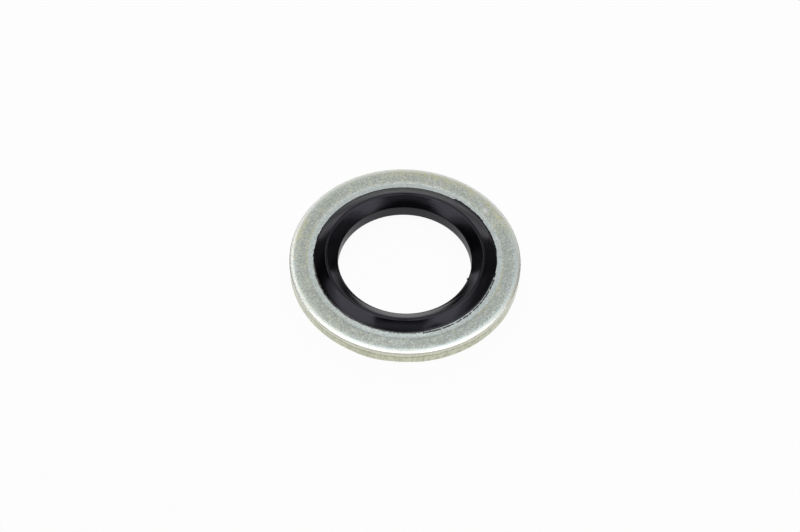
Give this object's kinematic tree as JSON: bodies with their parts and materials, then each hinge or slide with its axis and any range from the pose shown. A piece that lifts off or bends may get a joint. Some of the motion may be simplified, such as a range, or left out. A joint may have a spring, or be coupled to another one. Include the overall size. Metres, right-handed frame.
{
  "type": "bonded sealing washer",
  "caption": "Flat plated steel ring with a black rubber lip seal moulded and bonded in its bore, to seal under a bolt head.",
  "frame": {"origin": "on the axis of the bore, level with the crest of the lower lip that the washer lies on", "axes": "+Z along the bore's axis, out of the face whose outer edge is rounded by the die; X and Y are alike"},
  "size_m": [0.022, 0.022, 0.0027],
  "materials": {
    "zinc_plated_steel": "dull bright-zinc plate, faintly yellow in places, with burnished rims",
    "nitrile_rubber": "satin, as moulded"
  },
  "bodies": {
    "root": {"steel_ring": "zinc_plated_steel", "rubber_seal": "nitrile_rubber"}
  },
  "joints": []
}
